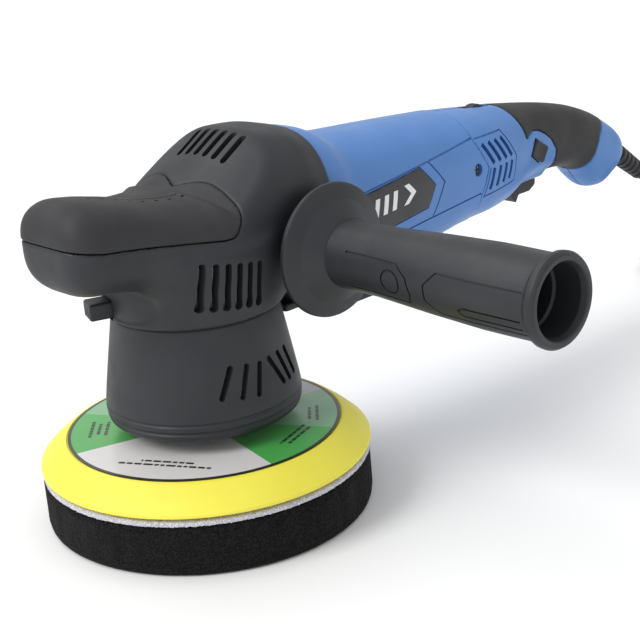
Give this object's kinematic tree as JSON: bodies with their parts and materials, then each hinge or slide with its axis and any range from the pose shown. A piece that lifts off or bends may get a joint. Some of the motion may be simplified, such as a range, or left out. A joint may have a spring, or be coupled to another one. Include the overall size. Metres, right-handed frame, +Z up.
{
  "type": "dual action polisher",
  "caption": "Corded dual action polisher with a foam pad on a backing plate, a palm grip head, a side handle and a trigger handle behind the motor.",
  "frame": {"origin": "on the main spindle's axis at the foam pad's working face", "axes": "+Z up out of the pad through the head, +X back along the motor to the rear handle, the side handle points to -Y"},
  "size_m": [0.599, 0.2512, 0.171],
  "materials": {
    "blue": "satin moulded plastic",
    "black": "fine-textured moulded plastic",
    "soft": "soft-touch overmoulding, matt",
    "yellow": "moulded polyurethane, matt",
    "label": "printed film",
    "foam": "open-cell polishing foam",
    "fleece": "brushed loop fleece",
    "hook": "moulded hook pile",
    "steel": "ground",
    "dark_steel": "blackened",
    "aluminium": "as cast",
    "copper": "enamelled copper",
    "brass": "pressed",
    "carbon": "pressed carbon",
    "nylon": "glass-filled nylon",
    "rubber": "matt PVC",
    "badge": "satin badge plate"
  },
  "bodies": {
    "pad": {"foam_pad": "foam", "loop_backing": "fleece", "hook_face": "hook", "backing_plate": "yellow", "plate_label": "label", "plate_hub": "dark_steel", "output_spindle": "steel"},
    "spindle": {"counterweight": "dark_steel", "orbit_bearing": "steel", "spindle_shaft": "steel", "bevel_gear": "dark_steel"},
    "armature": {"bevel_pinion": "steel", "armature_shaft": "steel", "armature_core": "dark_steel", "armature_windings": "copper", "commutator": "copper", "cooling_fan": "nylon"},
    "housing": {"gear_case": "aluminium", "bearing_plate": "aluminium", "dust_seal": "rubber", "spindle_bearing_lower": "steel", "spindle_bearing_upper": "steel", "armature_bearing_front": "steel", "armature_bearing_rear": "steel", "head_cover": "black", "palm_grip": "soft", "skirt": "black", "motor_housing": "blue", "stator": "dark_steel", "field_coil_upper": "copper", "field_coil_lower": "copper", "badge_left": "badge", "badge_right": "badge", "brush_holder_left": "brass", "brush_holder_right": "brass", "carbon_brush_left": "carbon", "carbon_brush_right": "carbon", "motor_screw_left": "dark_steel", "motor_screw_right": "dark_steel", "rear_handle_left": "blue", "rear_handle_right": "blue", "grip_overmold_left": "soft", "grip_overmold_right": "soft", "switch_module": "black", "speed_controller": "nylon", "cable_clamp": "nylon", "side_handle": "black", "side_handle_stud": "steel", "handle_screw_front": "dark_steel", "handle_screw_middle": "dark_steel", "handle_screw_rear": "dark_steel", "cable_boot": "rubber", "cord": "rubber", "cord_coil": "rubber", "cord_end": "rubber", "plug": "rubber"},
    "trigger": {"trigger": "black"},
    "lock_button": {"lock_button": "black"},
    "speed_dial": {"speed_dial": "black"},
    "spindle_lock": {"spindle_lock": "black"}
  },
  "joints": [
    {"name": "spindle_spin", "type": "hinge", "parent": "housing", "child": "spindle", "pos_m": [0, 0, 0.09], "axis": [0, 0, 1], "continuous": true},
    {"name": "pad_spin", "type": "hinge", "parent": "spindle", "child": "pad", "pos_m": [-0.00346, -0.002, 0.05], "axis": [0, 0, 1], "continuous": true},
    {"name": "armature_spin", "type": "hinge", "parent": "housing", "child": "armature", "pos_m": [0.1, 0, 0.122], "axis": [1, 0, 0], "continuous": true},
    {"name": "trigger_press", "type": "slide", "parent": "housing", "child": "trigger", "axis": [0, 0, 1], "range_m": [0, 0.0045], "stiffness_N_per_m": 800, "springref_m": -0.002},
    {"name": "lock_button_press", "type": "slide", "parent": "housing", "child": "lock_button", "axis": [0, 1, 0], "range_m": [0, 0.0025], "stiffness_N_per_m": 600, "springref_m": -0.001},
    {"name": "speed_dial_turn", "type": "hinge", "parent": "housing", "child": "speed_dial", "pos_m": [0.199, 0, 0.1425], "axis": [0, 1, 0], "range_deg": [0, 270]},
    {"name": "spindle_lock_press", "type": "slide", "parent": "housing", "child": "spindle_lock", "axis": [0.9291, -0.3697, 0], "range_m": [0, 0.004], "stiffness_N_per_m": 500, "springref_m": -0.001}
  ],
  "couplings": [
    {"joint": "armature_spin", "follows": "spindle_spin", "ratio": 4}
  ]
}
